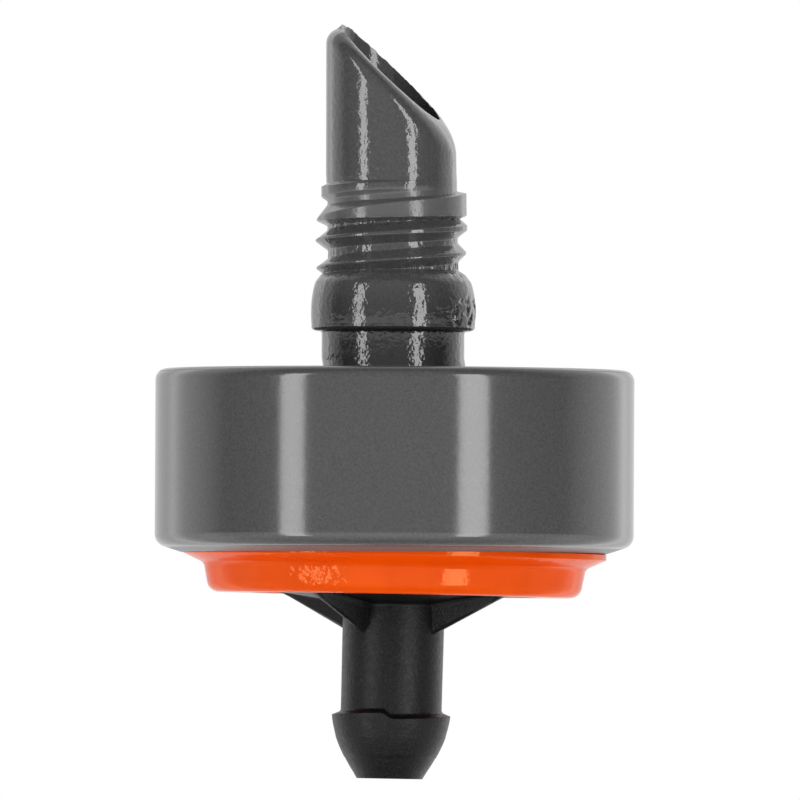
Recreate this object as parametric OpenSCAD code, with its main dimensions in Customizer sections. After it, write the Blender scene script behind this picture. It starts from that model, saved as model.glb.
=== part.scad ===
// Pressure-compensating drip emitter: a cup-shaped housing with a screw-in inlet,
// closed from below by a snap ring that holds the outlet fitting and the
// flow-control parts. +Z points along the inlet screw, and z = 0 is the face that
// seats against the supply pipe. All sizes are in millimetres.

/* [Housing cup] */
// Outer diameter of the cup
cup_d = 20; // [19.6:0.1:21]
// Height of the cup's straight side, from the pipe seat to where the rim turns in
cup_side_h = 6.9; // [6.85:0.05:7.05]
// Thickness of the cup's side wall
cup_wall = 1.15; // [1.1:0.05:1.2]
// Thickness of the cup's roof
cup_roof = 1.2; // [1.1:0.05:1.3]
// Radius of the cup's rounded top and bottom edges
cup_round = 0.58; // [0.4:0.02:0.7]
// Slope of the rim face, rising from the mouth to the outside
rim_slope = 16; // [8:1:18]

/* [Inlet screw] */
// Diameter of the neck that the pipe wall closes around
neck_d = 5.96; // [5.7:0.02:6.2]
// Length of the neck, about the pipe's wall thickness
neck_h = 1.66; // [1.4:0.02:1.8]
// Widest diameter of the sealing bulge above the neck
bulge_d = 6.9; // [6.7:0.02:7]
// Height of the sealing bulge's curved side
bulge_h = 1.9; // [1.7:0.05:2]
// Diameter at the crest of the screw thread
crest_d = 6.3; // [6.1:0.02:6.4]
// Rise of the thread in one turn
pitch = 1; // [0.9:0.05:1]
// Outer diameter of the hollow nose, which is also the thread's root
nose_d = 5.46; // [5.4:0.02:5.6]
// Height of the nose's slanted mouth, on the axis
mouth_z = 12.4; // [11.8:0.1:13]
// Slant of the mouth, from level
mouth_slant = 44; // [35:0.5:48]
// Direction that the mouth faces, about Z, from +X
mouth_turn = -12; // [-180:1:180]
// Rounding of the nose's outer edge at the mouth
mouth_round = 0.62; // [0.4:0.02:0.65]
// Diameter of the water inlet's bore
inlet_bore_d = 4.08; // [3.9:0.02:4.1]

/* [Snap ring] */
// Height of the ring below the cup's mouth edge
ring_drop = 1.74; // [1.68:0.01:1.8]
// Outer diameter of the ring's lower step, at its top
ring_step_d = 15.88; // [15.4:0.02:16.2]
// Radial engagement of the snap bead in the cup's groove
snap = 0.15; // [0.1:0.01:0.2]

/* [Outlet] */
// Diameter of the outlet stem that the micro-tube covers
stem_d = 4.16; // [4:0.02:4.4]
// Widest diameter of the barb
barb_d = 4.96; // [4.8:0.02:5.2]
// Diameter of the barb's end face
barb_tip_d = 2.74; // [2.5:0.02:2.9]
// Depth of the barb's shoulder below the pipe seat
barb_z = 14.42; // [14:0.02:15]
// Height of the barb
barb_h = 2.68; // [2.4:0.02:2.8]
// Diameter of the outlet bore
outlet_bore_d = 2.1; // [1.6:0.05:2.2]
// Thickness of each stiffening gusset
gusset_t = 0.5; // [0.4:0.02:0.8]
// Number of gussets round the stem
gusset_count = 4; // [3:1:6]
// Direction of the first gusset, about Z, from +X
gusset_turn = 52; // [0:1:89]

/* [Flow control] */
// Diameter of the silicone diaphragm
diaphragm_d = 15.8; // [15.4:0.1:16]
// Thickness of the silicone diaphragm
diaphragm_t = 0.9; // [0.8:0.05:1]
// How far the diaphragm lifts off the labyrinth
float_travel = 0.45; // [0.3:0.05:0.45]
// Number of teeth in the labyrinth's zigzag channel
tooth_count = 44; // [30:2:48]
// Diameter of the seal's round section
seal_section = 1.04; // [1:0.01:1.05]
// Number of slots in the inlet strainer
strainer_slots = 6; // [4:1:8]

/* [Hidden] */
$fn = 96;
// gap left between faces that rest on each other
touch = 0.02;
// overshoot of a cutting shape past the face that it cuts
over = 0.1;

// housing, from the driving sizes
cup_r = cup_d / 2;
mouth_r = cup_r - cup_wall;
neck_r = neck_d / 2;
bulge_r = bulge_d / 2;
crest_r = crest_d / 2;
nose_r = nose_d / 2;
inlet_bore_r = inlet_bore_d / 2;
// the seat is relieved round the neck, so that the pipe lies flat on it
seat_relief_r = bulge_r + 0.17;
seat_relief = 0.15;
rim_turn_r = cup_r - cup_round + cup_round * sin(rim_slope);
rim_turn_z = -cup_side_h - cup_round * cos(rim_slope);
rim_z = rim_turn_z - (rim_turn_r - mouth_r) * tan(rim_slope);
bulge_top_z = neck_h + bulge_h;
bulge_widest = neck_h + 0.74;
bulge_side_r = 4.3;
root_z = bulge_top_z + 0.6;
thread_z = root_z - 0.3;
root_r = nose_r - 0.03;
nose_z = thread_z + 4.3 * pitch;
// the tip is trimmed level here, to be blunt
tip_z = mouth_z + (nose_r - mouth_round) * tan(mouth_slant);
// the bore widens here to hold the strainer's flange
strainer_seat_r = 2.7;
strainer_seat_h = 0.5;

// stack of parts in the cup, from the roof down
stop_h = 0.6;
stop_count = 6;
diaphragm_top = -cup_roof - stop_h - touch - float_travel;
labyrinth_top = diaphragm_top - diaphragm_t - touch;
labyrinth_h = 1.5;
flange_top = labyrinth_top - labyrinth_h - touch;
flange_h = 1.75;
ring_top = flange_top - flange_h - touch;
ring_bottom = rim_z - ring_drop;

// labyrinth disc
labyrinth_r = mouth_r - 0.25;
channel_outer_r = diaphragm_d / 2 - 0.45;
channel_w = 1.3;
channel_depth = 0.7;
channel_inner_r = channel_outer_r - channel_w;
channel_gap = 14;
tooth_t = 0.34;
tooth_reach = 0.78 * channel_w;
chamber_r = channel_inner_r - 0.75;
chamber_depth = 0.4;
control_seat_r = 1.5;
control_seat_h = 0.22;
orifice_r = 0.45;
spigot_h = 0.6;

// outlet fitting
flange_r = mouth_r - 0.08;
well_r = 4.9;
well_floor = -8.35;
hub_r = 5.95;
hub_bottom = ring_bottom + 0.1;
hub_cone_h = 0.45;
stem_r = stem_d / 2;
outlet_bore_r = outlet_bore_d / 2;
barb_r = barb_d / 2;
barb_tip_r = barb_tip_d / 2;
gusset_r = hub_r - 0.07;
gusset_outer_h = 0.08;
gusset_h = 1.76;
groove_floor_r = mouth_r - seal_section - 2 * 0.02;
groove_h = 1.26;

// a list of points on an arc, angles in degrees
function arc(cx, cy, r, from, to, steps = 8) =
    [for (i = [0:steps]) let (a = from + (to - from) * i / steps) [cx + r * cos(a), cy + r * sin(a)]];

// radius of the bulge's curved side at a height
function bulge_side(z) =
    bulge_r - bulge_side_r + sqrt(bulge_side_r * bulge_side_r - pow(z - bulge_widest, 2));

// a value that moves from a to b as x goes from x0 to x1, and stays level outside
function ramp(x, x0, x1, a, b) = a + (b - a) * min(1, max(0, (x - x0) / (x1 - x0)));

// ---------------------------------------------------------------- inlet housing

// Half-section of the whole housing, with the bore, the cup and the snap groove.
module housing_outline() {
    bulge_steps = 10;
    bulge_foot = 0.1;
    groove_z = ring_top - 0.55;
    groove_r = mouth_r + snap + 0.04;
    polygon(concat(
        [[inlet_bore_r, -cup_roof + strainer_seat_h],
            [strainer_seat_r, -cup_roof + strainer_seat_h], [strainer_seat_r, -cup_roof],
            [mouth_r, -cup_roof], [mouth_r, groove_z + 0.5], [groove_r, groove_z + 0.3],
            [groove_r, groove_z + 0.12], [mouth_r, groove_z - 0.08], [mouth_r, rim_z]],
        arc(cup_r - cup_round, -cup_side_h, cup_round, -90 + rim_slope, 0),
        arc(cup_r - cup_round, -cup_round, cup_round, 0, 90),
        [[seat_relief_r, 0], [seat_relief_r - 0.05, -seat_relief], [neck_r, -seat_relief],
            [neck_r, neck_h - 0.06], [neck_r + 0.06, neck_h]],
        [for (i = [0:bulge_steps])
            let (z = neck_h + bulge_foot + (bulge_h - bulge_foot) * i / bulge_steps)
            [bulge_side(z), z]],
        [[bulge_side(bulge_top_z) - 0.1, bulge_top_z + 0.2], [root_r + 0.29, bulge_top_z + 0.41],
            [root_r, root_z],
            [root_r, nose_z + 0.1], [inlet_bore_r, nose_z + 0.1]]
    ));
}

// A right-handed ridge on the root cylinder. Both ends run out into the solid, and
// the last full turn is broad, as a lead-in that opens the hole for the crests.
module thread() {
    step = 15;
    first = 0;
    last = 1365;
    inner = root_r - 0.22;
    hidden = root_r - 0.12;
    count = (last - first) / step;
    function crest_at(a) =
        a < 120 ? ramp(a, first, 90, hidden, crest_r)
        : a < 1230 ? ramp(a, 960, 1230, crest_r, crest_r - 0.12)
        : ramp(a, 1230, last, crest_r - 0.12, hidden);
    function broad(a) = a < 1050 ? ramp(a, 870, 1050, 0, 1) : ramp(a, 1050, 1230, 1, 0);
    function ring_at(a) =
        let (
            z = thread_z + pitch * a / 360,
            up = 0.05 + 0.36 * broad(a),
            down = 0.05 + 0.22 * broad(a),
            foot_up = 0.44 + 0.06 * broad(a),
            foot_down = 0.44,
            section = [[inner, -foot_down], [crest_at(a), -down], [crest_at(a), up], [inner, foot_up]]
        )
        [for (p = section) [p[0] * cos(a), p[0] * sin(a), z + p[1]]];
    points = [for (i = [0:count], p = ring_at(first + i * step)) p];
    sides = [for (i = [0:count - 1], k = [0:3])
        let (a = 4 * i + k, b = 4 * i + (k + 1) % 4)
        each [[a, b, b + 4], [a, b + 4, a + 4]]];
    end = 4 * count;
    caps = [[0, 2, 1], [0, 3, 2], [end, end + 1, end + 2], [end, end + 2, end + 3]];
    polyhedron(points, concat(sides, caps));
}

// Thin oval plate, parallel to the mouth and inset from the nose's side.
module mouth_plate(depth, inset) {
    plate = 0.02;
    rotate([0, 0, mouth_turn]) translate([0, 0, mouth_z]) rotate([0, mouth_slant, 0])
        translate([depth * tan(mouth_slant), 0, -depth - plate])
            scale([(nose_r - inset) / cos(mouth_slant), nose_r - inset, 1])
                cylinder(r = 1, h = plate, $fn = 32);
}

// The nose above the thread: cut at a slant, with its outer edge rounded over.
module nose() {
    steps = 4;
    difference() {
        intersection() {
            hull() {
                translate([0, 0, nose_z]) cylinder(r = nose_r, h = 0.1, $fn = 32);
                for (i = [0:steps]) {
                    a = 90 * i / steps;
                    mouth_plate(mouth_round * (1 - sin(a)), mouth_round * (1 - cos(a)));
                }
            }
            translate([0, 0, nose_z - 1]) cylinder(r = nose_r + 1, h = tip_z - nose_z + 1);
        }
        translate([0, 0, nose_z - 1]) cylinder(r = inlet_bore_r, h = 10);
    }
}

module roof_stops() {
    for (i = [0:stop_count - 1])
        rotate([0, 0, i * 360 / stop_count + 30])
            translate([3.2, -0.3, -cup_roof - stop_h]) cube([3.6, 0.6, stop_h + over]);
}

module inlet_housing() {
    color("dimgray") {
        rotate_extrude() housing_outline();
        roof_stops();
        thread();
        nose();
    }
}

// ---------------------------------------------------------------- inside the cup

// A thimble in the inlet bore: closed on top, with tall slots in its side.
module inlet_strainer() {
    wall = 0.4;
    tube_r = inlet_bore_r - 0.03;
    top_z = 5.2;
    seat_z = -cup_roof + strainer_seat_h;
    color("gainsboro") difference() {
        union() {
            translate([0, 0, seat_z - strainer_seat_h + touch])
                cylinder(r = strainer_seat_r - 0.03, h = strainer_seat_h - 2 * touch);
            translate([0, 0, seat_z - over]) cylinder(r = tube_r, h = top_z - seat_z - 0.3 + over);
            translate([0, 0, top_z - 0.3]) cylinder(r1 = tube_r, r2 = tube_r - 0.3, h = 0.3);
        }
        translate([0, 0, seat_z - 1]) cylinder(r = tube_r - wall, h = top_z - seat_z + 0.5);
        for (i = [0:strainer_slots - 1])
            rotate([0, 0, i * 360 / strainer_slots])
                translate([1, -0.2, seat_z + 0.5]) cube([2, 0.4, top_z - seat_z - 1.3]);
    }
}

module diaphragm() {
    edge = 0.12;
    color("lightgray") translate([0, 0, diaphragm_top - diaphragm_t])
        rotate_extrude() polygon([[0, 0], [diaphragm_d / 2 - edge, 0], [diaphragm_d / 2, edge],
            [diaphragm_d / 2, diaphragm_t - edge], [diaphragm_d / 2 - edge, diaphragm_t], [0, diaphragm_t]]);
}

// The channel seen from above: a ring, less the teeth that stand in from both walls
// in turn, so the water zigzags, and less the wall that parts its two ends.
module channel_outline() {
    span = 360 - 2 * channel_gap;
    difference() {
        circle(r = channel_outer_r);
        circle(r = channel_inner_r);
        for (i = [0:tooth_count - 1])
            rotate(channel_gap + span * (i + 0.5) / tooth_count)
                translate([i % 2 == 0 ? channel_outer_r - tooth_reach : channel_inner_r - over, -tooth_t / 2])
                    square([tooth_reach + over, tooth_t]);
        translate([channel_inner_r - over, -0.3]) square([channel_w + 2 * over, 0.6]);
    }
}

module labyrinth_disc() {
    floor_z = labyrinth_top - channel_depth;
    chamber_z = labyrinth_top - chamber_depth;
    base_z = flange_top + touch;
    color("ivory") difference() {
        union() {
            translate([0, 0, base_z]) cylinder(r = labyrinth_r, h = labyrinth_h);
            // the spigot that centres the disc in the outlet fitting
            translate([0, 0, base_z - spigot_h]) cylinder(r = well_r - 0.06, h = spigot_h + over);
        }
        translate([0, 0, floor_z]) linear_extrude(1) channel_outline();
        // the control chamber, round the seat that the diaphragm closes on
        translate([0, 0, chamber_z]) difference() {
            cylinder(r = chamber_r, h = 1);
            translate([0, 0, -1]) cylinder(r = control_seat_r, h = 3);
        }
        translate([0, 0, chamber_z + control_seat_h]) cylinder(r = control_seat_r + over, h = 1);
        // the way in, from the edge of the disc to the channel
        rotate([0, 0, channel_gap / 2 + 1])
            translate([channel_outer_r - 0.2, -0.35, floor_z + 0.05]) cube([2, 0.7, 1]);
        // the way on, from the channel's far end to the control chamber
        rotate([0, 0, -channel_gap / 2 - 1])
            translate([chamber_r - 0.2, -0.35, chamber_z + 0.05]) cube([1.2, 0.7, 1]);
        // the orifice, and the metering notch across its seat
        translate([0, 0, base_z - 2]) cylinder(r = orifice_r, h = 6);
        rotate([0, 0, 90]) translate([0, -0.15, chamber_z + 0.08]) cube([control_seat_r + 0.5, 0.3, 1]);
        translate([0, 0, base_z - spigot_h - 1]) cylinder(r = well_r - 0.9, h = spigot_h + 1);
    }
}

module body_seal() {
    color("black") translate([0, 0, flange_top - flange_h / 2])
        rotate_extrude() translate([mouth_r - 0.02 - seal_section / 2, 0]) circle(d = seal_section);
}

// ---------------------------------------------------------------- outlet side

// Half-section of the stem and barb, below the hub. The barb's side is gently convex.
module stem_outline() {
    steps = 8;
    belly = 0.1;
    polygon(concat(
        [[0, hub_bottom + 0.5], [stem_r, hub_bottom + 0.5], [stem_r, -barb_z + 0.12],
            [stem_r + 0.1, -barb_z], [barb_r - 0.04, -barb_z], [barb_r, -barb_z - 0.04]],
        [for (i = [0:steps])
            let (t = i / steps)
            [barb_r + (barb_tip_r - barb_r) * t + 4 * belly * t * (1 - t),
                -barb_z - 0.08 - (barb_h - 0.12) * t]],
        [[barb_tip_r - 0.04, -barb_z - barb_h], [0, -barb_z - barb_h]]
    ));
}

module gusset() {
    rotate([90, 0, 0]) linear_extrude(gusset_t, center = true)
        polygon([[stem_r - 0.4, hub_bottom + over], [gusset_r, hub_bottom + over],
            [gusset_r, hub_bottom - gusset_outer_h], [stem_r, hub_bottom - gusset_h],
            [stem_r - 0.4, hub_bottom - gusset_h]]);
}

module outlet_fitting() {
    color([0.07, 0.07, 0.07]) difference() {
        union() {
            translate([0, 0, flange_top - flange_h]) cylinder(r = flange_r, h = flange_h);
            translate([0, 0, hub_bottom]) cylinder(r = hub_r, h = flange_top - flange_h / 2 - hub_bottom);
            translate([0, 0, hub_bottom - hub_cone_h])
                cylinder(r1 = stem_r, r2 = well_r + 0.2, h = hub_cone_h);
            rotate_extrude() stem_outline();
            for (i = [0:gusset_count - 1])
                rotate([0, 0, gusset_turn + i * 360 / gusset_count]) gusset();
        }
        // the well that gathers the metered water, and the bore to the barb's end
        translate([0, 0, well_floor]) cylinder(r = well_r, h = 10);
        translate([0, 0, -barb_z - barb_h - 1]) cylinder(r = outlet_bore_r, h = 12);
        // the groove for the seal
        translate([0, 0, flange_top - flange_h / 2 - groove_h / 2]) difference() {
            cylinder(r = flange_r + 1, h = groove_h);
            translate([0, 0, -1]) cylinder(r = groove_floor_r, h = groove_h + 2);
        }
    }
}

module snap_ring() {
    edge_r = mouth_r - 0.03;
    step_r = ring_step_d / 2;
    foot_r = step_r - 0.16;
    foot_round = 0.34;
    bead_z = ring_top - 0.55;
    color("orangered") rotate_extrude() polygon(concat(
        [[hub_r + 0.06, ring_top], [hub_r + 0.06, ring_bottom + 0.15], [hub_r + 0.21, ring_bottom]],
        arc(foot_r - foot_round, ring_bottom + foot_round, foot_round, -90, -5),
        [[step_r, rim_z - 0.53], [step_r + 0.08, rim_z - 0.39], [edge_r - 0.04, rim_z - 0.16],
            [edge_r, rim_z - 0.13], [edge_r, bead_z - 0.02], [edge_r + snap, bead_z + 0.17],
            [edge_r + snap, bead_z + 0.24], [edge_r, bead_z + 0.38], [edge_r - 0.1, ring_top]]
    ));
}

inlet_housing();
inlet_strainer();
diaphragm();
labyrinth_disc();
body_seal();
outlet_fitting();
snap_ring();
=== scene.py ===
"""Looks for the drip emitter: detailed meshes for the three visible mouldings, materials for every
piece, and a white studio with two tall strip lights. Lengths in the tables and the outlines are
millimetres in the row frame. A mesh's own points and everything in the studio are metres."""

import math

import bmesh
import bpy
import numpy as np
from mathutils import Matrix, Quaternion, Vector, noise


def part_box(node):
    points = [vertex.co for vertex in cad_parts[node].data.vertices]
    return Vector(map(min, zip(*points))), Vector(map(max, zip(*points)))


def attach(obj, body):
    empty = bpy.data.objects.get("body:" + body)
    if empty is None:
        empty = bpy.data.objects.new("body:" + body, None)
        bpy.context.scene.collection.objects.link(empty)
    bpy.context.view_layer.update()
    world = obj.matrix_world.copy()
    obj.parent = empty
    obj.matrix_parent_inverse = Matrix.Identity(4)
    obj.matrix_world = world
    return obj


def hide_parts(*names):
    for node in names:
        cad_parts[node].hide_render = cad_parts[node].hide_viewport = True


MM = 0.001
SEGMENTS = 360  # steps round the housing and the ring
OUTLET_SEGMENTS = 192

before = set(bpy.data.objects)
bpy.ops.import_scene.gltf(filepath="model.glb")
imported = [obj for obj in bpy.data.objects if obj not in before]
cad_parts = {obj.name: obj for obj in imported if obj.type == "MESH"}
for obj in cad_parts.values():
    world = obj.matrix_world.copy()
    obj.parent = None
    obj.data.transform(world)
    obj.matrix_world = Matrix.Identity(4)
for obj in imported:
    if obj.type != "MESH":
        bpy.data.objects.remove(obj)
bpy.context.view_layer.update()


def cad_mm(node):
    """A CAD node's box as ((x0, y0, z0), (x1, y1, z1)) in millimetres."""
    low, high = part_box(node)
    return np.array(low) / MM, np.array(high) / MM


HOUSING_LOW, HOUSING_HIGH = cad_mm("inlet_housing")
RING_LOW, RING_HIGH = cad_mm("snap_ring")
OUTLET_LOW, OUTLET_HIGH = cad_mm("outlet_fitting")

# ---------------------------------------------------------------- sizes, from the frame and the design
# cup
CUP_R = HOUSING_HIGH[0]
CUP_WALL = 1.15
CUP_ROOF = 1.2
MOUTH_R = CUP_R - CUP_WALL
RIM_Z = HOUSING_LOW[2]
CORNER_TOP = 0.46
CORNER_BOTTOM = 0.555
CORNER_BOTTOM_Z = -6.88
RIM_SLOPE = math.radians(16)
GROOVE_R = 3.75  # shallow groove in the cup's top, round the neck
GROOVE_FLOOR_R = 3.6
GROOVE_Z = -0.12
# neck, sealing bulge, screw and nose, called the spigot together
NECK_R = 2.98
BULGE_R = 3.447
BULGE_Z = 2.4
BULGE_SIDE_R = 4.3
BULGE_LIP_Z = 1.86
BULGE_TOP_Z = 3.56
ROOT_R = 2.70
NOSE_R = 2.73
NOSE_DRAFT = 0.0095
BORE_R = 2.04
THREAD_Z = 3.86
PITCH = 1.0
SCREW_ROW = 0.026  # height of one row of the screw's mesh
NOSE_Z = 8.2
MOUTH_Z = 12.40
MOUTH_SLANT = math.radians(43.9)
MOUTH_TURN = math.radians(-11.5)
MOUTH_ROUND = 0.62
TIP_BLUNT = 0.17
# the spigot stands a little off the cup's axis, and leans: heights and the shift in X there
SPIGOT_LINE = ([0.0, 0.35, 1.6, 2.4, 3.5, 7.4, 8.2, 9.2, 14.5],
               [0.0, -0.09, -0.09, -0.077, -0.09, -0.155, -0.20, -0.212, -0.283])
# snap ring
RING_BOTTOM = RING_LOW[2]
RING_BORE_R = 6.0
RING_LOW_R = 7.75
RING_STEP_R = 7.98
# outlet
FLANGE_R = 8.6
FLANGE_T = 1.7
WELL_R = 4.9
WELL_Z = -8.35
HUB_R = 5.93
HUB_FLAT_R = 5.0
HUB_BOTTOM = RING_BOTTOM + 0.1
STEM_R = 2.09
BARB_R = 2.48
BARB_Z = -14.52
BARB_END_R = 1.37
OUTLET_END = OUTLET_LOW[2] + 0.022
OUTLET_BORE_R = 1.05
HUB_CONE = 0.45
GUSSET_T = 0.5
GUSSET_EDGE_T = 0.3
GUSSET_R = 5.85
GUSSET_DROP = 1.71
GUSSET_FILLET = 0.14
GUSSET_EDGE_ROUND = 0.1
GUSSET_TURNS = [math.radians(54 + 90 * i) for i in range(4)]
# the ring and the outlet sit a little crooked in the cup, as pressed home, and the stem leans more
CLOSURE_TILT = math.radians(0.8)
CLOSURE_PIVOT_Z = -8.0
CLOSURE_SHIFT = 0.035
STEM_LEAN = 0.0068


# ---------------------------------------------------------------- small helpers
def smooth(x, low, high):
    """0 below low, 1 above high, and a smooth step between."""
    t = np.clip((np.asarray(x, float) - low) / (high - low), 0, 1)
    return t * t * (3 - 2 * t)


def smooth_max(a, b, k):
    """The larger of a and b, with the corner between them rounded over k."""
    h = np.clip(0.5 + 0.5 * (a - b) / k, 0, 1)
    return b + (a - b) * h + k * h * (1 - h)


def smooth_min(a, b, k):
    """The smaller of a and b, with the corner between them rounded over k."""
    return -smooth_max(-a, -b, k)


def grain(x, y, z, scale, seed):
    """Smooth random height, about -1 to 1, at a point in millimetres."""
    return noise.noise(Vector((x * scale + seed, y * scale - seed, z * scale + 2 * seed)))


def rounded(points, step=0.25, arc_steps=6):
    """Closed outline in (r, z) from corners (r, z, fillet). Straight stretches get points near
    both ends, so that smooth shading stays flat along them."""
    corners = [np.array(p[:2], float) for p in points]
    out = []
    for i, corner in enumerate(corners):
        before, after = corners[i - 1], corners[(i + 1) % len(corners)]
        radius = points[i][2]
        to_before, to_after = before - corner, after - corner
        len_before, len_after = np.linalg.norm(to_before), np.linalg.norm(to_after)
        to_before, to_after = to_before / len_before, to_after / len_after
        angle = math.acos(np.clip(np.dot(to_before, to_after), -1, 1))
        if radius <= 0 or angle > math.radians(178):
            out.append([corner])
            continue
        reach = min(radius / math.tan(angle / 2), 0.48 * len_before, 0.48 * len_after)
        start, end = corner + to_before * reach, corner + to_after * reach
        curve = []
        for k in range(arc_steps + 1):
            t = k / arc_steps
            # a rational quadratic through start and end is a true circular arc
            w = math.sin(angle / 2)
            b0, b1, b2 = (1 - t) ** 2, 2 * w * t * (1 - t), t * t
            curve.append((b0 * start + b1 * corner + b2 * end) / (b0 + b1 + b2))
        out.append(curve)
    outline = []
    for i, curve in enumerate(out):
        outline.extend(curve)
        a, b = curve[-1], out[(i + 1) % len(out)][0]
        length = np.linalg.norm(b - a)
        if length > 0.08:
            near = min(0.03, length / 4)
            inner = max(1, int(length / step))
            at = [near, *[length * k / inner for k in range(1, inner)], length - near]
            outline.extend(a + (b - a) * s / length for s in at)
    return np.array(outline)


def band_mesh(name, loops):
    """A closed mesh from loops[i, j], the points j of the closed section at turn i."""
    turns, count = loops.shape[:2]
    faces = [
        (i * count + j, i * count + (j + 1) % count,
         ((i + 1) % turns) * count + (j + 1) % count, ((i + 1) % turns) * count + j)
        for i in range(turns) for j in range(count)
    ]
    mesh = bpy.data.meshes.new(name)
    mesh.from_pydata((loops.reshape(-1, 3) * MM).tolist(), [], faces)
    obj = bpy.data.objects.new(name, mesh)
    bpy.context.scene.collection.objects.link(obj)
    return finish_mesh(obj)


def finish_mesh(obj, sharp_angle=38):
    """Makes faces point out, shades them smooth, and marks the edges that are really sharp."""
    bm = bmesh.new()
    bm.from_mesh(obj.data)
    bmesh.ops.recalc_face_normals(bm, faces=bm.faces)
    limit = math.radians(sharp_angle)
    for face in bm.faces:
        face.smooth = True
    for edge in bm.edges:
        edge.smooth = not (len(edge.link_faces) == 2 and edge.calc_face_angle(0) > limit)
    bm.to_mesh(obj.data)
    bm.free()
    return obj


def lathe(name, outline, turns=SEGMENTS, shape=None):
    """Turns an outline in (r, z) about Z. shape(angles, r, z) may return changed r and z."""
    angle = np.arange(turns)[:, None] * 2 * math.pi / turns
    r = np.broadcast_to(outline[:, 0], (turns, len(outline))).copy()
    z = np.broadcast_to(outline[:, 1], (turns, len(outline))).copy()
    if shape:
        r, z = shape(angle, r, z)
    loops = np.stack([r * np.cos(angle), r * np.sin(angle), z], axis=2)
    return band_mesh(name, loops)


def slide(obj, offset):
    """Moves a finished mesh's points in X by offset(z), both in millimetres."""
    for v in obj.data.vertices:
        v.co.x += float(offset(v.co.z / MM)) * MM
    return obj


def tilt_closure(obj):
    """Tips a finished mesh about Y by the closure's small tilt, and moves it a little off centre."""
    c, s = math.cos(CLOSURE_TILT), math.sin(CLOSURE_TILT)
    pivot = CLOSURE_PIVOT_Z * MM
    for v in obj.data.vertices:
        x, z = v.co.x, v.co.z - pivot
        v.co.x, v.co.z = c * x + s * z + CLOSURE_SHIFT * MM, pivot - s * x + c * z
    return obj


# ---------------------------------------------------------------- housing
def bulge_rows():
    """Outline of the neck, the sealing bulge's sharp lower lip and its olive side."""
    neck = [(NECK_R, 0.02), (NECK_R, 0.5), (NECK_R, 1.0), (NECK_R, 1.48)]
    lip = [(NECK_R + 0.015, 1.56), (NECK_R + 0.06, 1.575), (3.12, 1.59), (3.24, 1.61),
           (3.35, 1.65), (3.40, 1.70), (3.42, 1.77)]
    side = [(bulge_radius(z), z) for z in np.linspace(BULGE_LIP_Z, BULGE_TOP_Z, 46)]
    return [*neck, *lip, *side]


def bulge_radius(z):
    """Radius of the bulge's side, an arc of BULGE_SIDE_R that is widest at BULGE_Z."""
    return BULGE_R - BULGE_SIDE_R + math.sqrt(BULGE_SIDE_R ** 2 - (z - BULGE_Z) ** 2)


# The ridge along the screw, by degrees along the helix: height over the root, half-widths of its
# crest and foot above and below, and how far the crest sags below the helix.
RIDGE = {
    "angle":     [-40, 60, 180, 360, 540, 720, 810, 900, 990, 1080, 1170, 1260, 1340, 1400],
    "height":    [0.00, 0.26, 0.51, 0.36, 0.53, 0.42, 0.42, 0.47, 0.42, 0.40, 0.36, 0.26, 0.12, 0.00],
    "up":        [0.03, 0.03, 0.03, 0.05, 0.03, 0.10, 0.06, 0.04, 0.34, 0.56, 0.34, 0.20, 0.14, 0.10],
    "foot_up":   [0.38, 0.40, 0.40, 0.42, 0.44, 0.46, 0.50, 0.66, 0.50, 0.64, 0.46, 0.34, 0.26, 0.22],
    "down":      [0.03, 0.03, 0.03, 0.05, 0.03, 0.12, 0.06, 0.03, 0.28, 0.38, 0.30, 0.20, 0.14, 0.12],
    "foot_down": [0.36, 0.38, 0.40, 0.40, 0.42, 0.44, 0.30, 0.24, 0.42, 0.56, 0.46, 0.40, 0.34, 0.28],
    "sag":       [0.05, 0.10, 0.14, -0.03, -0.01, -0.09, 0.00, 0.14, 0.03, 0.04, 0.00, -0.06, -0.04, 0.00],
}


def thread_height(angle, z):
    """Height of the screw's ridge over the root at angles (radians) and heights z."""
    degrees = np.degrees(angle) % 360
    total = np.zeros(np.broadcast(degrees, z).shape)
    for turn in range(-1, 5):
        along = degrees + 360 * turn
        value = {k: np.interp(along, RIDGE["angle"], RIDGE[k]) for k in RIDGE if k != "angle"}
        d = z - (THREAD_Z + PITCH * along / 360 - value["sag"])
        rise_up = value["height"] * (value["foot_up"] - d) / (value["foot_up"] - value["up"])
        rise_down = value["height"] * (value["foot_down"] + d) / (value["foot_down"] - value["down"])
        ridge = smooth_min(smooth_min(rise_up, rise_down, 0.05), value["height"], 0.03)
        total = np.maximum(total, np.where(value["height"] > 0.004, ridge, 0))
    return total


def mouth_height(angle, radius):
    """Height of the slanted mouth over a point at an angle and a radius. Its very tip is blunt."""
    facing = np.cos(angle - MOUTH_TURN)
    return MOUTH_Z - math.tan(MOUTH_SLANT) * radius * facing - TIP_BLUNT * smooth(-facing, 0.8, 1.0)


def nose_radius(z):
    """Radius of the nose's wall, which tapers a little."""
    return NOSE_R - NOSE_DRAFT * (z - NOSE_Z)


def nose_point(angle, turn, ragged):
    """Radius and height on the nose's rounded outer edge: turn is 0 on the wall and 1 at the rim."""
    a = turn * math.pi / 2
    radius = nose_radius(mouth_height(angle, NOSE_R) - 1) - MOUTH_ROUND * (1 - math.cos(a))
    along_plane = mouth_height(angle, radius) - MOUTH_ROUND * (1 - math.sin(a)) / math.cos(MOUTH_SLANT)
    rim = mouth_height(angle, NOSE_R - MOUTH_ROUND)
    wall_top = rim - MOUTH_ROUND
    shoulder = wall_top + (rim - wall_top) * math.sin(a)
    at_tip = smooth(-np.cos(angle - MOUTH_TURN), 0.1, 1.0)
    return radius, along_plane + (shoulder - along_plane) * at_tip + ragged * turn ** 9


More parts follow.
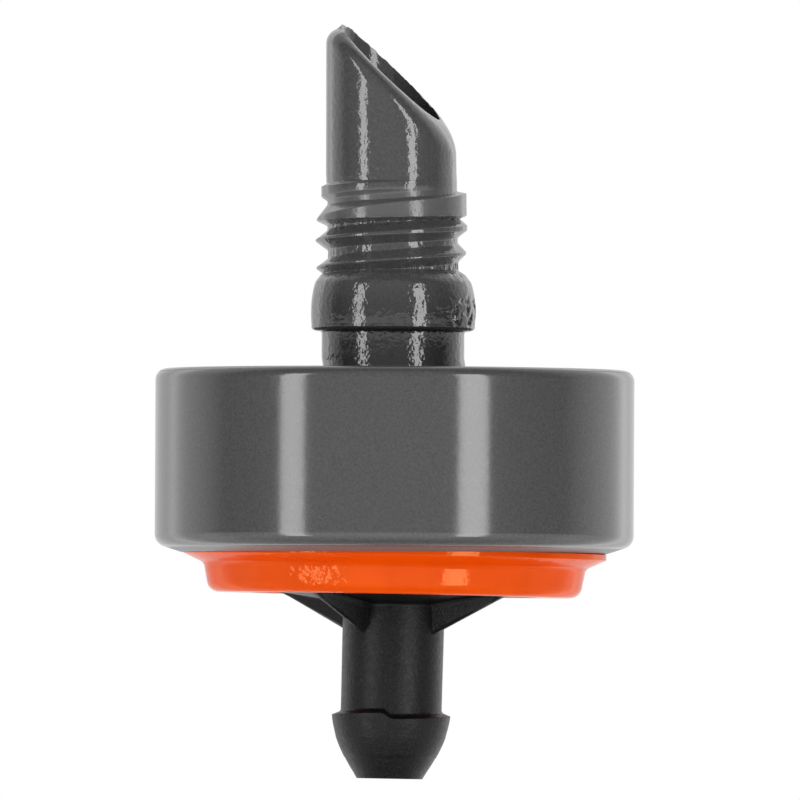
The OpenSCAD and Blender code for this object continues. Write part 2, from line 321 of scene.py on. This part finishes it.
def ragged_edge(angle):
    """Uneven trim of the rim, in height: strongest at the back, with a burr on the tip."""
    x, y = np.cos(angle), np.sin(angle)
    fine = np.array([grain(4 * a, 4 * b, 0, 1.5, 3.1) + 0.6 * grain(4 * a, 4 * b, 0, 5, 8.3)
                     for a, b in zip(x.ravel(), y.ravel())]).reshape(x.shape)
    # radians from the tip, negative towards the back
    from_tip = np.mod(angle - MOUTH_TURN, 2 * math.pi) - math.pi
    height = 0.165 - 0.05 * smooth(-from_tip, 0.1, 0.5)
    burr = height * smooth(from_tip, -0.72, -0.46) * (1 - smooth(from_tip, 0.02, 0.14))
    burr = burr + 0.04 * np.exp(-((from_tip - 0.3) / 0.1) ** 2)
    return fine * (0.012 + 0.05 * smooth(y, -0.2, 0.5)) + burr


def pitted(angle, heights, ridge):
    """Uneven skin of the screw, in millimetres: short upright marks in the valleys below the collar,
    deepest in the lowest valley and right under the collar."""
    depth = smooth(heights, 3.7, 4.0) * (1 - smooth(heights, 6.3, 6.7))
    for middle, spread, share in ((5.2, 0.4, -0.75), (4.2, 0.2, 0.8), (6.2, 0.2, 0.8)):
        depth = depth * (1 + share * np.exp(-((heights - middle) / spread) ** 2))
    rough = np.zeros(ridge.shape)
    for i, a in enumerate(angle[:, 0]):
        x, y = ROOT_R * math.cos(a), ROOT_R * math.sin(a)
        for j in np.nonzero(depth)[0]:
            coarse = grain(x, y, 0.3 * heights[j], 5.0, 5.7)
            rough[i, j] = coarse + 0.5 * grain(x, y, 0.5 * heights[j], 8.0, 2.9)
    in_valley = 1 - smooth(ridge, 0.05, 0.2)
    return 0.035 * depth[None, :] * in_valley * rough


def scuffed(angle, r, z):
    """Dents where the bulge was scraped, on its right side."""
    turned = (np.degrees(angle) + 180) % 360 - 180
    where = smooth(turned, -66, -40) * (1 - smooth(turned, 4, 22))
    where = where * smooth(z, 1.75, 1.95) * (1 - smooth(z, 2.6, 3.2))
    where = where * (r > 3.2) * (z < 3.4)
    dents = np.zeros(r.shape)
    for i, j in zip(*np.nonzero(where)):
        x, y = BULGE_R * math.cos(angle[i, 0]), BULGE_R * math.sin(angle[i, 0])
        dents[i, j] = max(0.0, grain(x, y, z[i, j], 2.6, 7.7) + 0.5 * grain(x, y, z[i, j], 6.0, 1.3))
    return r - 0.16 * where * dents


def make_housing():
    """The whole housing as one closed band: cup outside, neck, bulge, screw, nose, bore, cup inside."""
    # where the sloping rim face, carried on, would meet the side
    corner_z = CORNER_BOTTOM_Z - CORNER_BOTTOM * math.tan(math.pi / 4 - RIM_SLOPE / 2)
    cup_outside = rounded([
        (MOUTH_R, RIM_Z, 0.05), (CUP_R, corner_z, CORNER_BOTTOM), (CUP_R, 0.0, CORNER_TOP),
        (GROOVE_R, 0.0, 0.04), (GROOVE_FLOOR_R, GROOVE_Z, 0.03), (NECK_R, GROOVE_Z, 0.05),
        (NECK_R, 0.6, 0), (1.0, 0.6, 0), (1.0, -5, 0), (MOUTH_R, -5, 0),
    ], step=0.3, arc_steps=10)
    # keep the stretch from the mouth's edge out and up to the neck
    first = int(np.argmin(np.hypot(cup_outside[:, 0] - MOUTH_R, cup_outside[:, 1] - RIM_Z)))
    cup_outside = np.roll(cup_outside, -first, axis=0)
    last = int(np.argmin(np.hypot(cup_outside[:, 0] - NECK_R, cup_outside[:, 1] - GROOVE_Z)))
    rows = [*cup_outside[: last + 4], *bulge_rows()[1:]]
    fixed = np.array([p for i, p in enumerate(rows)
                      if i == 0 or np.hypot(*(p - np.array(rows[i - 1]))) > 1e-4])
    screw_z = np.arange(BULGE_TOP_Z + 0.02, NOSE_Z, SCREW_ROW)
    bore = rounded([
        (BORE_R, 9.0, 0), (BORE_R, -CUP_ROOF, 0.08), (MOUTH_R, -CUP_ROOF, 0.3),
        (MOUTH_R, RIM_Z, 0.05), (MOUTH_R + 1, RIM_Z - 1, 0), (12, 9.0, 0),
    ], step=0.6)
    inside_last = int(np.argmin(np.hypot(bore[:, 0] - MOUTH_R, bore[:, 1] - (RIM_Z + 0.08))))
    inside = bore[: inside_last + 1]
    angle = np.arange(SEGMENTS)[:, None] * 2 * math.pi / SEGMENTS
    ragged = ragged_edge(angle)

    def column(values):
        return np.broadcast_to(values, (SEGMENTS, len(values)))

    shoulder_z = BULGE_TOP_Z + np.array([0.0, 0.1, 0.2, 0.41, 0.6, 3.9, 4.3])
    shoulder_r = [bulge_radius(BULGE_TOP_Z), 3.25, 3.18, 2.99, ROOT_R, ROOT_R, NOSE_R]
    root = np.interp(screw_z, shoulder_z, shoulder_r)
    ridge = thread_height(angle, screw_z[None, :])
    screw_r = smooth_max(column(root), ROOT_R + ridge, 0.05)
    screw_r = screw_r + (NOSE_R - screw_r) * smooth(screw_z, NOSE_Z - 0.25, NOSE_Z)[None, :]
    screw_r = screw_r + pitted(angle, screw_z, ridge)
    below_screw = scuffed(angle, column(fixed[:, 0]).copy(), column(fixed[:, 1]))
    parts_r, parts_z = [below_screw, screw_r], [column(fixed[:, 1]), column(screw_z)]
    wall_top = nose_point(angle, 0, ragged)[1]
    for t in np.linspace(0, 1, 22)[:-1] ** 0.9:
        wall_z = NOSE_Z + (wall_top - NOSE_Z) * t
        parts_r.append(nose_radius(wall_z) + (nose_point(angle, 0, ragged)[0] - nose_radius(wall_top)) * t)
        parts_z.append(wall_z)
    for t in np.linspace(0, 1, 15):
        radius, z = nose_point(angle, t, ragged)
        parts_r.append(radius)
        parts_z.append(z)
    inner_rim = mouth_height(angle, BORE_R) + ragged
    for drop in (0.0, 0.05, 0.3, 1.0):
        parts_r.append(np.full((SEGMENTS, 1), BORE_R))
        parts_z.append(inner_rim - drop)
    for t in (0.3, 0.6, 0.9):
        parts_r.append(np.full((SEGMENTS, 1), BORE_R))
        parts_z.append((inner_rim - 1.0) * (1 - t) + 8.6 * t)
    parts_r.append(column(inside[1:, 0]))
    parts_z.append(column(inside[1:, 1]))
    r, z = np.concatenate(parts_r, axis=1), np.concatenate(parts_z, axis=1)
    loops = np.stack([r * np.cos(angle), r * np.sin(angle), z], axis=2)
    housing = band_mesh("inlet_housing_moulding", loops)
    return slide(housing, lambda z: np.interp(z, *SPIGOT_LINE))


# ---------------------------------------------------------------- ring
def make_ring():
    """The orange snap ring: conical upper step, drafted lower step, and the hidden skirt in the cup."""
    outline = rounded([
        (RING_BORE_R, RING_HIGH[2] - 0.1, 0.05), (RING_BORE_R, RING_BOTTOM, 0.12),
        (RING_LOW_R, RING_BOTTOM, 0.5), (RING_STEP_R, RIM_Z - 0.53, 0.32), (MOUTH_R - 0.02, RIM_Z - 0.14, 0.04),
        (MOUTH_R - 0.02, RIM_Z + 0.1, 0.03), (MOUTH_R - 0.16, RIM_Z + 0.16, 0.03),
        (MOUTH_R - 0.16, RING_HIGH[2] - 0.1, 0.05),
    ], step=0.2)
    return lathe("snap_ring_moulding", outline)


# ---------------------------------------------------------------- outlet
def outlet_outline():
    """The outlet's section, from the bore up over the hidden flange and down the hub, stem and barb."""
    top = OUTLET_HIGH[2]
    barb = [(BARB_R + (BARB_END_R - BARB_R) * t + 0.62 * t * (1 - t),
             BARB_Z - 0.1 + (OUTLET_END - BARB_Z + 0.14) * t, 0.0) for t in np.linspace(0.06, 1, 12)]
    return rounded([
        (OUTLET_BORE_R, OUTLET_END, 0.04), (OUTLET_BORE_R, WELL_Z, 0.0), (WELL_R, WELL_Z, 0.0),
        (WELL_R, top - 0.05, 0.0), (FLANGE_R, top - 0.05, 0.0), (FLANGE_R, top - FLANGE_T, 0.0),
        (HUB_R, top - FLANGE_T, 0.0), (HUB_R, HUB_BOTTOM, 0.1), (HUB_FLAT_R, HUB_BOTTOM - 0.02, 0.1),
        (STEM_R, HUB_BOTTOM - HUB_CONE, 0.14), (STEM_R, BARB_Z + 0.1, 0.16),
        (BARB_R, BARB_Z - 0.05, 0.03), *barb[:-1], (BARB_END_R, OUTLET_END, 0.05),
    ], step=0.14, arc_steps=5)


def outlet_shape(angle, r, z):
    """Mould mismatch at the barb's shoulder, the parting ridge, and a slight draft on the stem."""
    side = np.cos(angle + math.radians(4))
    left_half = smooth(-side, -0.1, 0.1)
    near_shoulder = np.exp(-((z - BARB_Z) / 0.45) ** 2) * (r > 1.6)
    z = z + near_shoulder * (0.14 + (0.25 * left_half - 0.15) * np.sin(angle) ** 2)
    parting = np.exp(-(side / 0.035) ** 2) * (r > 1.6) * (z < HUB_BOTTOM - 0.6)
    drafted = (0.018 + 0.012 * smooth(z, -14.0, -10.5)) * (r > 1.9) * (r < 2.3)
    return r + 0.014 * parting + drafted, z


def flare(gap):
    """How much a gusset widens at a distance from the face that it grows out of."""
    if gap >= GUSSET_FILLET:
        return 0
    return GUSSET_FILLET * (1 - math.sqrt(max(0.0, 1 - (1 - gap / GUSSET_FILLET) ** 2)))


def gusset_mesh(turn):
    """One triangular gusset: a plate with a rounded lower edge that flares into the hub and stem."""
    inside_stem = 2.0  # just under the stem's surface
    stations = np.concatenate([np.linspace(1.7, 2.9, 14), np.linspace(3.05, GUSSET_R, 14)])
    slope = GUSSET_DROP / (GUSSET_R - STEM_R)
    high = HUB_BOTTOM + 0.15
    verts = []
    for rho in stations:
        drop = max(0.03, (GUSSET_R - rho) * slope)
        low = HUB_BOTTOM - 0.02 - drop
        along_cone = max(0.0, (HUB_FLAT_R - rho) / (HUB_FLAT_R - STEM_R))
        hub_z = HUB_BOTTOM - 0.02 - (HUB_CONE - 0.02) * along_cone
        edge = min(GUSSET_EDGE_ROUND, 0.45 * drop)
        side = []
        for t in np.linspace(0, 1, 13):
            z = high + (low - high) * t
            from_low = z - low
            pinch = edge - math.sqrt(max(0.0, edge ** 2 - (edge - from_low) ** 2)) if from_low < edge else 0
            taper = 0.5 * (GUSSET_T - GUSSET_EDGE_T) * t
            widened = max(flare(hub_z - z), flare(rho - inside_stem))
            side.append((GUSSET_T / 2 - taper + widened - pinch, z))
        loop = [*side, *[(-w, z) for w, z in reversed(side)]]
        verts.append([(rho, w, z) for w, z in loop])
    rho, w, z = np.moveaxis(np.array(verts), 2, 0)
    c, s = math.cos(turn), math.sin(turn)
    turned = np.stack([rho * c - w * s, rho * s + w * c, z], axis=2)
    rows, count = turned.shape[:2]
    faces = [(i * count + j, i * count + (j + 1) % count,
              (i + 1) * count + (j + 1) % count, (i + 1) * count + j)
             for i in range(rows - 1) for j in range(count)]
    faces += [tuple(range(count)), tuple((rows - 1) * count + j for j in reversed(range(count)))]
    mesh = bpy.data.meshes.new("gusset")
    mesh.from_pydata((turned.reshape(-1, 3) * MM).tolist(), [], faces)
    obj = bpy.data.objects.new("gusset", mesh)
    bpy.context.scene.collection.objects.link(obj)
    return finish_mesh(obj)


def unite(base, other):
    """Joins other into base as one clean solid."""
    modifier = base.modifiers.new("union", "BOOLEAN")
    modifier.operation, modifier.solver, modifier.object = "UNION", "MANIFOLD", other
    bpy.context.view_layer.objects.active = base
    bpy.ops.object.modifier_apply(modifier=modifier.name)
    bpy.data.objects.remove(other)


def make_outlet():
    """The outlet fitting, turned and joined with its four gussets, with its stem leaning a little."""
    outlet = lathe("outlet_fitting_moulding", outlet_outline(), turns=OUTLET_SEGMENTS, shape=outlet_shape)
    for turn in GUSSET_TURNS:
        unite(outlet, gusset_mesh(turn))
    slide(outlet, lambda z: STEM_LEAN * min(0.0, z - HUB_BOTTOM))
    return finish_mesh(outlet, sharp_angle=32)


# ---------------------------------------------------------------- materials
class Nodes:
    """Shortcuts for building a material's node tree."""

    def __init__(self, name):
        self.material = bpy.data.materials.new(name)
        self.material.use_nodes = True
        self.tree = self.material.node_tree
        self.shader = self.tree.nodes["Principled BSDF"]
        self.place = self.tree.nodes.new("ShaderNodeTexCoord").outputs["Object"]

    def link(self, source, target):
        self.tree.links.new(source, target)

    def noise(self, per_mm, detail, rough):
        """Noise with features of about 1 / per_mm millimetres."""
        node = self.tree.nodes.new("ShaderNodeTexNoise")
        node.inputs["Scale"].default_value = per_mm / MM
        node.inputs["Detail"].default_value = detail
        node.inputs["Roughness"].default_value = rough
        self.link(self.place, node.inputs["Vector"])
        return node.outputs["Fac"]

    def ramp(self, source, low, high, a, b):
        """Maps low..high to a..b, held level outside."""
        node = self.tree.nodes.new("ShaderNodeMapRange")
        for socket, value in zip(("From Min", "From Max", "To Min", "To Max"), (low, high, a, b)):
            node.inputs[socket].default_value = value
        self.link(source, node.inputs["Value"])
        return node.outputs["Result"]

    def math(self, operation, a, b):
        """Arithmetic on two sockets or numbers."""
        node = self.tree.nodes.new("ShaderNodeMath")
        node.operation = operation
        for socket, value in zip(node.inputs, (a, b)):
            if isinstance(value, (int, float)):
                socket.default_value = value
            else:
                self.link(value, socket)
        return node.outputs[0]

    def mix(self, factor, a, b):
        """Blends two colours, or colour sockets, by a factor."""
        node = self.tree.nodes.new("ShaderNodeMix")
        node.data_type = "RGBA"
        for index, value in ((0, factor), (6, a), (7, b)):
            if isinstance(value, tuple):
                node.inputs[index].default_value = (*value, 1)
            elif isinstance(value, (int, float)):
                node.inputs[index].default_value = value
            else:
                self.link(value, node.inputs[index])
        return node.outputs[2]

    def bump(self, height, strength, distance_mm, below=None):
        """Relief on top of the relief below it."""
        node = self.tree.nodes.new("ShaderNodeBump")
        node.inputs["Distance"].default_value = distance_mm * MM
        if isinstance(strength, (int, float)):
            node.inputs["Strength"].default_value = strength
        else:
            self.link(strength, node.inputs["Strength"])
        self.link(height, node.inputs["Height"])
        if below:
            self.link(below, node.inputs["Normal"])
        return node.outputs["Normal"]

    def place_mm(self, axis):
        """Place along an axis of the row frame, in millimetres."""
        split = self.tree.nodes.new("ShaderNodeSeparateXYZ")
        self.link(self.place, split.inputs["Vector"])
        return self.math("MULTIPLY", split.outputs[axis], 1 / MM)

    def between(self, value, stops):
        """1 between the inner two of four rising stops, falling to 0 at the outer two."""
        low, from_low, to_high, high = stops
        rise = self.ramp(value, low, from_low, 0, 1)
        return self.math("MULTIPLY", rise, self.ramp(value, to_high, high, 1, 0))

    def set(self, **values):
        """Constant values on the shader's inputs."""
        for name, value in values.items():
            self.shader.inputs[name.replace("_", " ")].default_value = value


def grey_plastic():
    """Glossy mid-grey moulding: nearly smooth on the cup, pitted and shiny on the neck, screw and nose, with
    painted shade on the neck and screw and a painted light on the face under the rim.
    """
    n = Nodes("grey_plastic")
    height = n.place_mm("Z")
    above_cup = n.ramp(height, 0.0, 0.1, 0, 1)
    speck = n.noise(11, 2, 0.7)
    cloud = n.noise(0.35, 3, 0.5)
    tone = n.mix(n.ramp(speck, 0.3, 0.7, 0, 1), (0.052, 0.052, 0.053), (0.088, 0.088, 0.089))
    tone = n.mix(n.ramp(cloud, 0.35, 0.65, 0, 0.25), tone, (0.063, 0.063, 0.064))
    # the neck and the screw are darker than the cup and the nose: painted shade, standing in for the shadow
    # under the bulge and where the cup hides the light from below
    painted_neck_shade = n.math("MULTIPLY", above_cup, n.ramp(height, 1.7, 3.9, 0.8, 0.08))
    tone = n.mix(painted_neck_shade, tone, (0.018, 0.018, 0.018))
    # the collar at the top of the screw is paler and softer
    collar = n.between(height, (6.0, 6.5, 7.3, 7.7))
    tone = n.mix(n.math("MULTIPLY", collar, 0.5), tone, (0.125, 0.125, 0.125))
    # the narrow face under the rim is dull, and painted a lighter, cool grey: painted light, standing in for
    # the light it catches from below
    under_rim_painted_light = n.ramp(height, -7.50, -7.42, 1, 0)
    tone = n.mix(n.math("MULTIPLY", under_rim_painted_light, 0.8), tone, (0.085, 0.110, 0.115))
    n.link(tone, n.shader.inputs["Base Color"])
    rough = n.ramp(n.noise(5, 3, 0.6), 0.3, 0.7, 0.10, 0.15)
    rough = n.math("SUBTRACT", rough, n.math("MULTIPLY", above_cup, 0.04))
    rough = n.math("ADD", rough, n.math("MULTIPLY", collar, 0.13))
    # the flat seat face on top of the cup, and the floor of the groove round the neck, are satin
    for flat_z in ((-0.01, -0.005, 0.02, 0.025), (-0.13, -0.125, -0.11, -0.105)):
        rough = n.math("ADD", rough, n.math("MULTIPLY", n.between(height, flat_z), 0.36))
    n.link(n.math("ADD", rough, n.math("MULTIPLY", under_rim_painted_light, 0.2)), n.shader.inputs["Roughness"])
    peel = n.bump(n.noise(1.6, 2, 0.5), 0.06, 0.02)
    # the pits are deepest on the neck and bulge, and all but gone on the cup
    up_spigot = n.math("SUBTRACT", n.ramp(height, 3.6, 7.6, 1.0, 0.6), n.math("MULTIPLY", collar, 0.3))
    pit_depth = n.math("MULTIPLY", up_spigot, n.ramp(height, 0.0, 0.1, 0.02, 0.5))
    pits = n.bump(n.noise(4.4, 1.5, 0.55), pit_depth, 0.05, peel)
    fine = n.bump(n.noise(22, 2, 0.5), n.ramp(height, 0.0, 0.1, 0.15, 0.3), 0.004, pits)
    n.link(fine, n.shader.inputs["Normal"])
    n.set(IOR=1.5)
    return n.material


def orange_plastic():
    """Saturated glossy orange, with a slightly wavy skin and a patch of small marks."""
    n = Nodes("orange_plastic")
    cloud = n.ramp(n.noise(0.6, 3, 0.5), 0.35, 0.65, 0, 1)
    tone = n.mix(cloud, (0.655, 0.057, 0.0008), (0.70, 0.066, 0.0012))
    n.link(tone, n.shader.inputs["Base Color"])
    n.link(n.ramp(n.noise(4, 3, 0.6), 0.3, 0.7, 0.07, 0.12), n.shader.inputs["Roughness"])
    marked = n.between(n.place_mm("X"), (-5.0, -4.4, -2.0, -1.5))
    peel = n.bump(n.noise(1.1, 2, 0.5), 0.5, 0.03)
    marks = n.bump(n.noise(3.6, 1.5, 0.5), n.ramp(marked, 0, 1, 0.12, 1.0), 0.06, peel)
    n.link(n.bump(n.noise(12, 2, 0.5), 0.3, 0.004, marks), n.shader.inputs["Normal"])
    # a faint sheen at the edges, and a strong orange one where the strips are mirrored
    n.set(IOR=1.5, Specular_IOR_Level=0.03, Specular_Tint=(15.0, 8.0, 3.2, 1.0))
    return n.material


def black_plastic():
    """Semi-matt black moulding with a coarse grain and a few pale specks."""
    n = Nodes("black_plastic")
    specks = n.ramp(n.noise(8, 2, 0.6), 0.68, 0.76, 0, 1)
    mottle = n.ramp(n.noise(13, 2, 0.7), 0.35, 0.65, 0, 1)
    tone = n.mix(mottle, (0.0006, 0.0006, 0.0008), (0.0095, 0.0095, 0.010))
    n.link(n.mix(n.math("MULTIPLY", specks, 0.6), tone, (0.05, 0.05, 0.05)), n.shader.inputs["Base Color"])
    n.link(n.ramp(n.noise(4, 4, 0.6), 0.3, 0.7, 0.34, 0.46), n.shader.inputs["Roughness"])
    peel = n.bump(n.noise(2.5, 3, 0.6), 0.45, 0.02)
    n.link(n.bump(n.noise(8, 3, 0.7), 1.0, 0.02, peel), n.shader.inputs["Normal"])
    n.set(IOR=1.5, Specular_IOR_Level=0.22)
    return n.material


def plain_moulding(name, dark, light, rough):
    """The parts inside the cup: slightly cloudy colour, fine grain and a soft sheen."""
    n = Nodes(name)
    n.link(n.mix(n.noise(0.8, 3, 0.5), dark, light), n.shader.inputs["Base Color"])
    n.link(n.ramp(n.noise(5, 3, 0.6), 0.3, 0.7, rough - 0.06, rough + 0.06), n.shader.inputs["Roughness"])
    n.link(n.bump(n.noise(7, 3, 0.6), 0.3, 0.008), n.shader.inputs["Normal"])
    return n.material


def dress(obj, material):
    """Gives a piece this one material."""
    obj.data.materials.clear()
    obj.data.materials.append(material)
    for polygon in obj.data.polygons:
        polygon.material_index = 0


# ---------------------------------------------------------------- studio
FLOOR_GLOW = 0.45
FLOOR_RADIUS = 0.45
FLOOR_Z = -0.030
STRIP_HEIGHT = 1.4
STRIP_DISTANCE = 1.2


def make_floor():
    """A pale round table below the barb, seen only from above. It gives soft light, and isn't mirrored."""
    bpy.ops.mesh.primitive_circle_add(
        vertices=96, radius=FLOOR_RADIUS, fill_type="NGON", location=(0, 0, FLOOR_Z))
    floor = bpy.context.object
    floor.name = "floor"
    floor.visible_glossy = False
    n = Nodes("floor_paper")
    tone = n.mix(n.noise(0.01, 3, 0.5), (0.90, 0.90, 0.90), (0.93, 0.93, 0.93))
    n.link(tone, n.shader.inputs["Base Color"])
    n.set(Roughness=0.7, Emission_Color=(1, 1, 1, 1), Emission_Strength=FLOOR_GLOW)
    clear = n.tree.nodes.new("ShaderNodeBsdfTransparent")
    facing = n.tree.nodes.new("ShaderNodeNewGeometry")
    mixed = n.tree.nodes.new("ShaderNodeMixShader")
    n.link(facing.outputs["Backfacing"], mixed.inputs["Fac"])
    n.link(n.shader.outputs["BSDF"], mixed.inputs[1])
    n.link(clear.outputs["BSDF"], mixed.inputs[2])
    n.link(mixed.outputs["Shader"], n.tree.nodes["Material Output"].inputs["Surface"])
    floor.data.materials.append(n.material)


def strip_light(name, azimuth, width, power):
    """A tall soft strip that faces the object. Azimuth is in degrees from the camera's side, towards +X."""
    data = bpy.data.lights.new(name, "AREA")
    data.shape, data.size, data.size_y = "RECTANGLE", width, STRIP_HEIGHT
    data.energy = power
    obj = bpy.data.objects.new(name, data)
    bpy.context.scene.collection.objects.link(obj)
    a = math.radians(azimuth)
    obj.location = (STRIP_DISTANCE * math.sin(a), -STRIP_DISTANCE * math.cos(a), 0)
    obj.rotation_euler = (Vector((0, 0, -0.002)) - obj.location).to_track_quat("-Z", "Y").to_euler()
    obj.visible_camera = False


def make_world():
    """White to the camera. For light and reflections it is bright behind the object and dim in front,
    with a bright band in front just below the horizon, and dim straight below."""
    world = bpy.data.worlds.new("studio")
    bpy.context.scene.world = world
    world.use_nodes = True
    tree = world.node_tree
    tree.nodes.clear()

    def link(source, target):
        tree.links.new(source, target)

    def combine(operation, *values):
        node = tree.nodes.new("ShaderNodeMath")
        node.operation = operation
        for socket, value in zip(node.inputs, values):
            if isinstance(value, (int, float)):
                socket.default_value = value
            else:
                link(value, socket)
        return node.outputs[0]

    def level(value, stops):
        """Brightness along one part of the direction. A stop is that part, mapped from -1..1 to 0..1,
        and the brightness there."""
        ramp = tree.nodes.new("ShaderNodeValToRGB")
        link(combine("MULTIPLY_ADD", value, 0.5, 0.5), ramp.inputs["Fac"])
        ramp.color_ramp.elements.remove(ramp.color_ramp.elements[1])
        ramp.color_ramp.elements[0].position = stops[0][0]
        ramp.color_ramp.elements[0].color = (stops[0][1],) * 3 + (1,)
        for position, shade in stops[1:]:
            ramp.color_ramp.elements.new(position).color = (shade,) * 3 + (1,)
        return ramp.outputs["Color"]

    place = tree.nodes.new("ShaderNodeTexCoord")
    split = tree.nodes.new("ShaderNodeSeparateXYZ")
    link(place.outputs["Generated"], split.inputs["Vector"])
    x, y, z = (split.outputs[axis] for axis in "XYZ")
    # lopsided: the bright band behind the object lies further round on the right
    skewed = combine("MULTIPLY_ADD", combine("MULTIPLY", x, y), -0.12, y)
    back = level(skewed, [
        (0.0, 0.52), (0.13, 0.50), (0.24, 0.28), (0.34, 0.12), (0.48, 0.05), (0.505, 0.10), (0.56, 0.50),
        (0.616, 0.80), (0.69, 1.1), (0.787, 1.3), (0.825, 1.5), (0.86, 1.85), (0.885, 1.9), (0.905, 1.5),
        (0.93, 1.15), (0.965, 1.0), (1.0, 0.9)])
    below = level(z, [(0.0, 0.3), (0.10, 0.6), (0.25, 1.0), (1.0, 1.0)])
    band = level(z, [(0.0, 0.0), (0.02, 0.1), (0.10, 0.5), (0.28, 1.0), (0.45, 1.0), (0.49, 0.0), (1.0, 0.0)])
    front = level(y, [(0.0, 1.0), (0.55, 1.0), (0.72, 0.0), (1.0, 0.0)])
    lighting = tree.nodes.new("ShaderNodeBackground")
    total = combine("ADD", combine("MULTIPLY", back, below), combine("MULTIPLY", band, front))
    link(total, lighting.inputs["Color"])
    seen = tree.nodes.new("ShaderNodeBackground")
    seen.inputs["Color"].default_value = (1, 1, 1, 1)
    path = tree.nodes.new("ShaderNodeLightPath")
    mixed = tree.nodes.new("ShaderNodeMixShader")
    link(path.outputs["Is Camera Ray"], mixed.inputs["Fac"])
    link(lighting.outputs["Background"], mixed.inputs[1])
    link(seen.outputs["Background"], mixed.inputs[2])
    link(mixed.outputs["Shader"], tree.nodes.new("ShaderNodeOutputWorld").inputs["Surface"])


def make_camera():
    """A long lens, nearly level and a little from below, framed on the whole object."""
    data = bpy.data.cameras.new("camera")
    data.lens, data.sensor_width = 1000, 36
    width_seen = 33.40 * MM
    distance = width_seen * data.lens / data.sensor_width
    target = Vector((0.215 * MM, 0, -1.264 * MM))
    elevation = math.radians(-0.9)
    roll = Quaternion((0, 0, 1), math.radians(0.3))
    camera = bpy.data.objects.new("camera", data)
    bpy.context.scene.collection.objects.link(camera)
    camera.location = target + Vector((0, -math.cos(elevation), math.sin(elevation))) * distance
    camera.rotation_euler = ((target - camera.location).to_track_quat("-Z", "Y") @ roll).to_euler()
    data.clip_start, data.clip_end = 0.01, 10
    bpy.context.scene.camera = camera


# ---------------------------------------------------------------- build
housing = make_housing()
ring = tilt_closure(make_ring())
outlet = tilt_closure(make_outlet())
for piece, node, slot in ((housing, "inlet_housing", "housing_plastic"),
                          (ring, "snap_ring", "ring_plastic"),
                          (outlet, "outlet_fitting", "outlet_plastic")):
    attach(piece, "housing")
    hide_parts(node)
dress(housing, grey_plastic())
dress(ring, orange_plastic())
dress(outlet, black_plastic())
for node, name, dark, light, roughness in (
        ("inlet_strainer", "strainer_plastic", (0.5, 0.49, 0.45), (0.6, 0.58, 0.53), 0.4),
        ("labyrinth_disc", "labyrinth_plastic", (0.55, 0.54, 0.5), (0.65, 0.63, 0.58), 0.4),
        ("diaphragm", "silicone", (0.32, 0.32, 0.31), (0.4, 0.4, 0.39), 0.45),
        ("body_seal", "seal_rubber", (0.012, 0.012, 0.012), (0.02, 0.02, 0.02), 0.5)):
    dress(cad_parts[node], plain_moulding(name, dark, light, roughness))

make_floor()
make_world()
strip_light("strip_left", azimuth=-50.2, width=0.26, power=8.3)
strip_light("strip_right", azimuth=38.3, width=0.31, power=10.5)
make_camera()
bpy.context.scene.view_settings.view_transform = "Standard"
